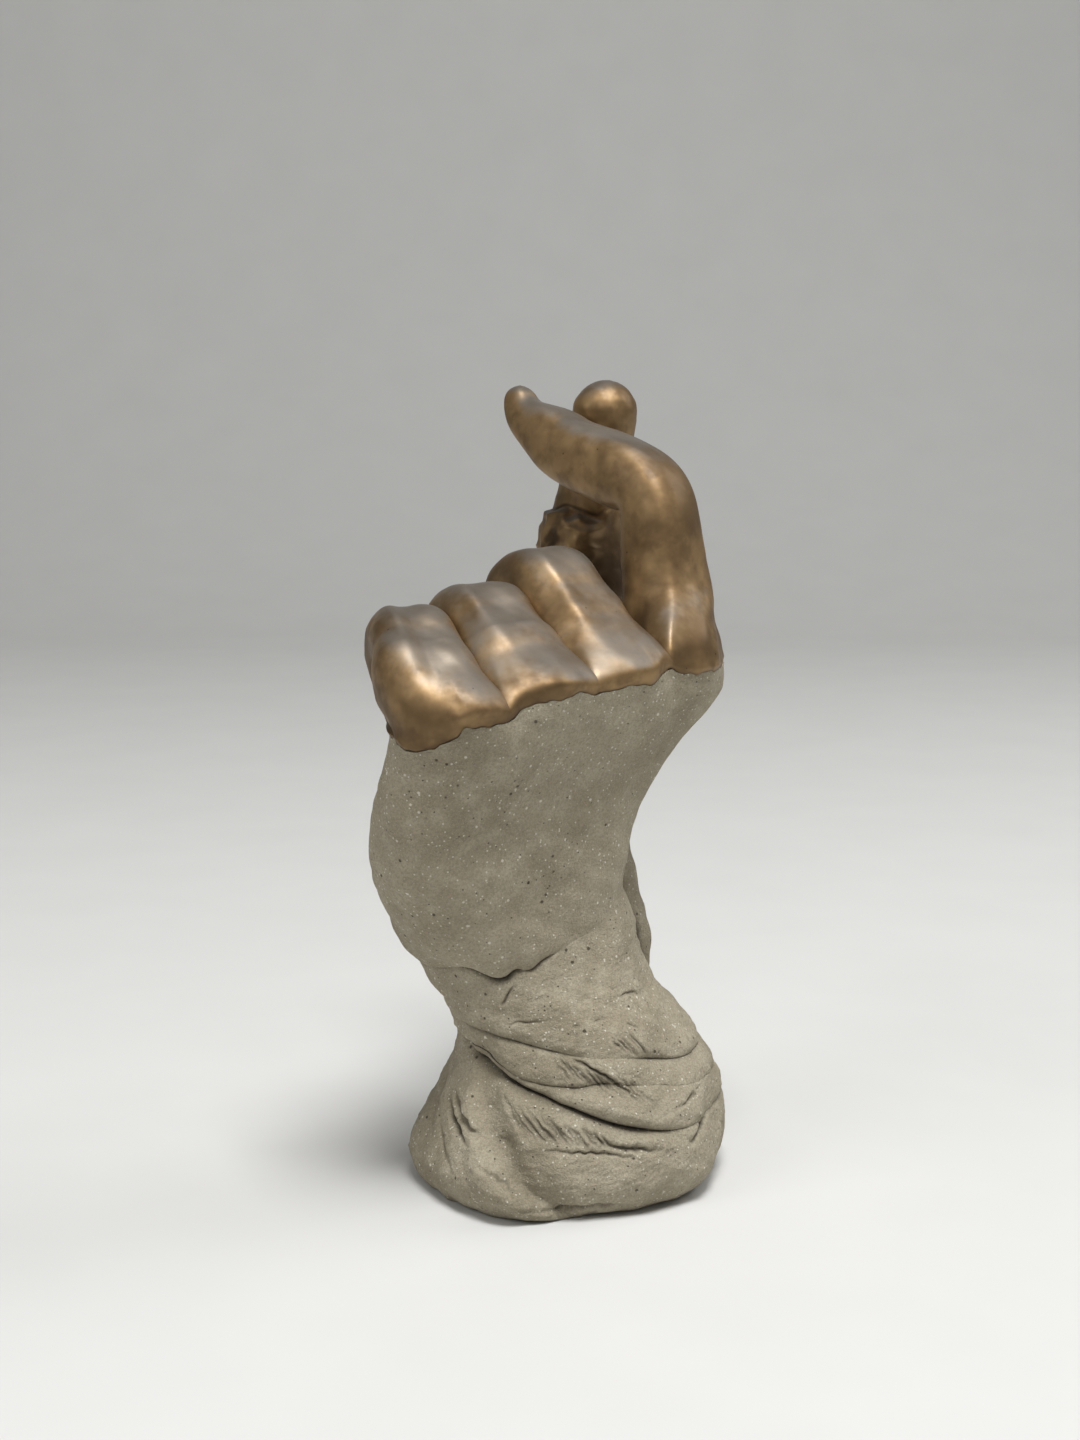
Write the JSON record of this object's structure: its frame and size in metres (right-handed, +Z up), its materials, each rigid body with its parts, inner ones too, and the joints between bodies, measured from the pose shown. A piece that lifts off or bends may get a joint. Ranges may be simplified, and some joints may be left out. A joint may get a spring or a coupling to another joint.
{
  "type": "ceramic hand sculpture",
  "caption": "Free-standing stoneware hand making a finger heart, with folded and raised fingers in bronze lustre glaze on a bare clay palm, wrist and twisted cuff.",
  "frame": {"origin": "middle of the foot on the floor", "axes": "+X to the right and +Y away from someone facing the back of the hand, +Z up from the floor to the fingertips"},
  "size_m": [0.0726, 0.0875, 0.1601],
  "materials": {
    "bronze_glaze": "bronze lustre glaze, satin to glossy",
    "bare_stoneware": "unglazed grogged stoneware, matt"
  },
  "bodies": {
    "root": {"index_finger": "bronze_glaze", "middle_finger": "bronze_glaze", "ring_finger": "bronze_glaze", "little_finger": "bronze_glaze", "thumb": "bronze_glaze", "thumb_mound": "bare_stoneware", "back_of_hand": "bare_stoneware", "palm": "bare_stoneware", "wrist": "bare_stoneware", "upper_wrap": "bare_stoneware", "middle_wrap": "bare_stoneware", "lower_wrap": "bare_stoneware", "foot": "bare_stoneware", "base_slab": "bare_stoneware"}
  },
  "joints": []
}
